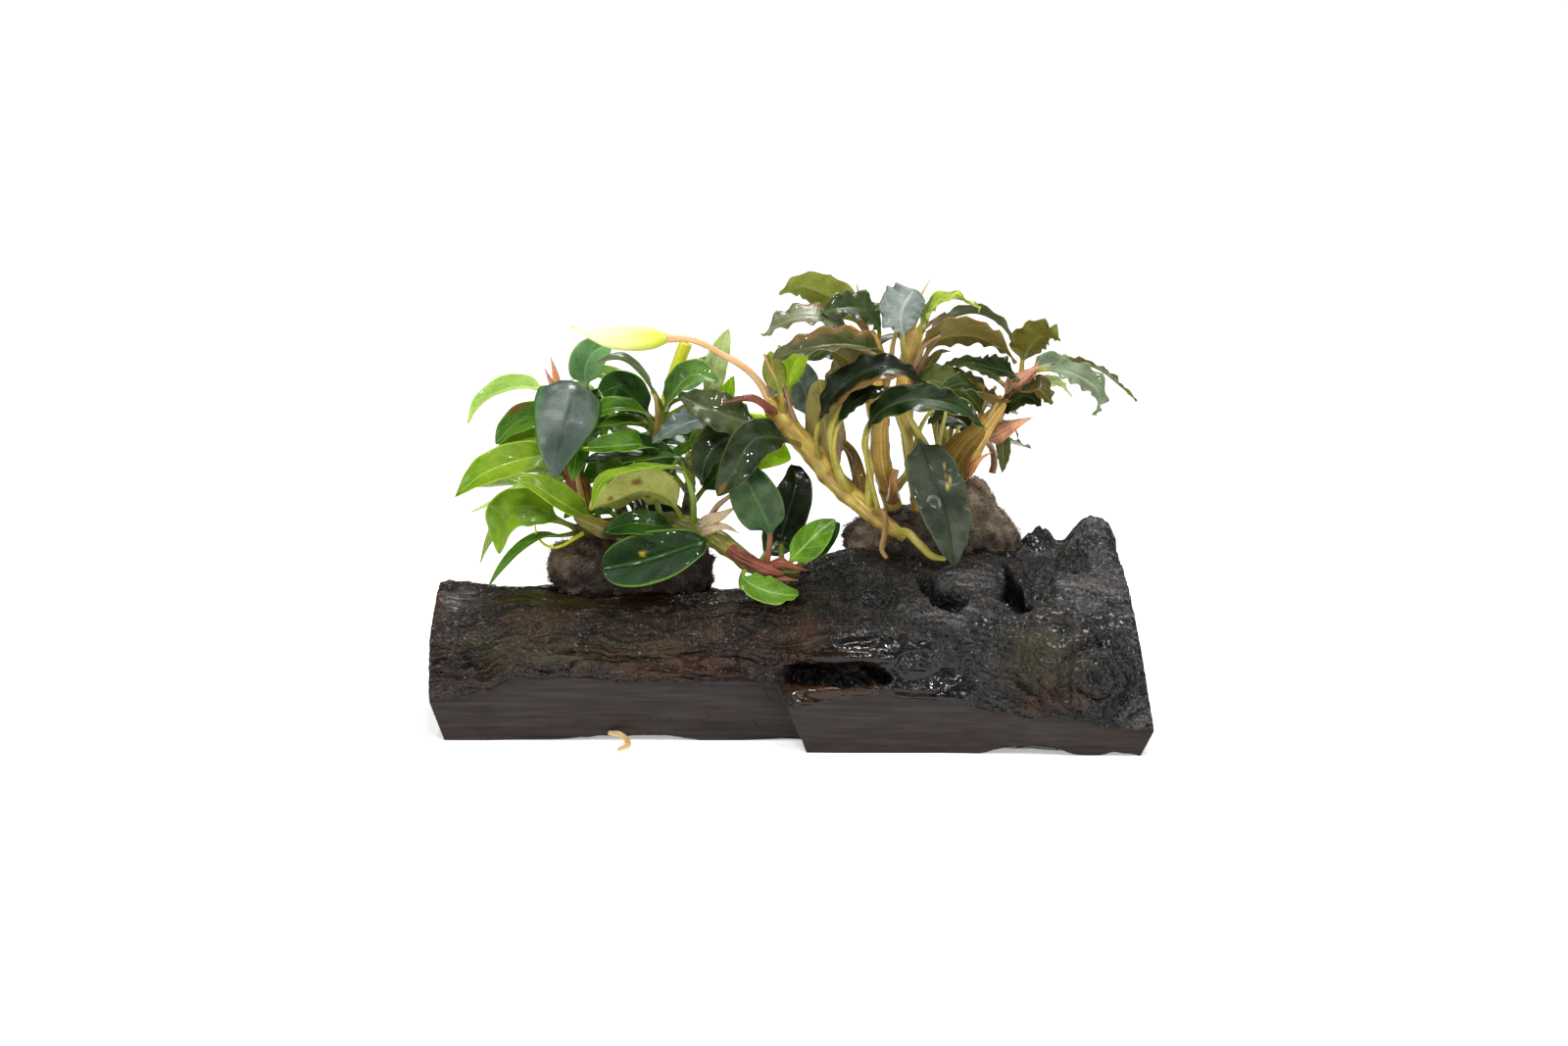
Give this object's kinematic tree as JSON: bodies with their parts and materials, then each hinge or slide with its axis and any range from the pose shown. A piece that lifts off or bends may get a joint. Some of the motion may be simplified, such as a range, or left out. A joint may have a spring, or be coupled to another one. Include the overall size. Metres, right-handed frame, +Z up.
{
  "type": "water plant on driftwood",
  "caption": "Small water plants with broad glossy leaves, creeping stems and a pale flower sheath, rooted in fibre plugs on a sawn piece of driftwood with a flat underside.",
  "frame": {"origin": "on the flat underside of the driftwood, under the middle of its length", "axes": "+X along the driftwood towards its thicker end, +Y away from the sawn front facet, +Z up, out of the plants' tops"},
  "size_m": [0.1458, 0.0777, 0.0923],
  "materials": {
    "wet_wood": "wet, dark and fissured",
    "fibre": "matt brown fibre",
    "olive_stem": "satin",
    "red_brown_stem": "satin",
    "yellow_stem": "satin, banded",
    "tan_stem": "satin",
    "blue_green": "satin with a bluish sheen",
    "lime": "smooth and slightly glossy",
    "mid_green": "glossy",
    "grey_green": "silvery satin",
    "dark_green": "glossy",
    "olive_under": "matt underside",
    "deep_green": "glossy",
    "lime_gloss": "glossy",
    "black_green": "wet gloss",
    "lime_bright": "thin and lit from behind",
    "pale_olive": "matt",
    "olive_dark": "satin",
    "dark_gloss": "wet gloss",
    "olive_brown": "matt underside",
    "tan_under": "matt striped underside",
    "orange_stem": "satin",
    "cream_root": "satin",
    "pale_spathe": "smooth and waxy"
  },
  "bodies": {
    "root": {"driftwood": "wet_wood", "fibre_plug_left": "fibre", "fibre_plug_right": "fibre", "leaf_backlit": "lime_bright", "leaf_black_arch": "black_green", "leaf_black_green": "black_green", "leaf_blue_dark": "blue_green", "leaf_blue_rim": "mid_green", "leaf_dark_arch": "dark_gloss", "leaf_dark_folded": "dark_gloss", "leaf_dark_shiny": "dark_green", "leaf_dark_spiked": "dark_green", "leaf_dark_tipped": "dark_gloss", "leaf_dark_wavy": "dark_gloss", "leaf_front_hanging": "dark_gloss", "leaf_front_oval": "deep_green", "leaf_green_curled": "mid_green", "leaf_grey_arch": "grey_green", "leaf_grey_blue": "grey_green", "leaf_grey_far": "grey_green", "leaf_grey_lobed": "grey_green", "leaf_heart": "blue_green", "leaf_lime_round": "lime_gloss", "leaf_lime_wavy": "lime_bright", "leaf_long_arch": "lime", "leaf_long_arching": "olive_under", "leaf_long_bright": "lime", "leaf_long_lime": "lime", "leaf_mid_green": "mid_green", "leaf_narrow_low": "mid_green", "leaf_olive_arching": "olive_brown", "leaf_olive_crown": "olive_under", "leaf_olive_folded": "olive_under", "leaf_olive_lobed": "olive_under", "leaf_olive_oval": "olive_dark", "leaf_pale_top": "lime", "leaf_pale_upright": "pale_olive", "leaf_small_glossy": "lime_gloss", "leaf_tan_striped": "tan_under", "leaf_upright_blue": "blue_green", "leaf_veined_arch": "lime", "leaf_white_top": "grey_green", "leaf_yellow_rim": "mid_green", "peduncle": "orange_stem", "rhizome_left": "olive_stem", "root_brown_right": "tan_stem", "root_cream": "cream_root", "root_tan": "tan_stem", "root_yellow_green": "yellow_stem", "spathe": "pale_spathe", "stalk_yellow": "yellow_stem", "stem_left_back": "red_brown_stem", "stem_left_far": "olive_stem", "stem_left_mid": "olive_stem", "stem_left_right": "olive_stem", "stem_right_far": "olive_stem", "stem_right_leaning": "yellow_stem", "stem_right_second": "yellow_stem", "stem_right_side": "tan_stem", "stem_right_upright": "yellow_stem"}
  },
  "joints": []
}
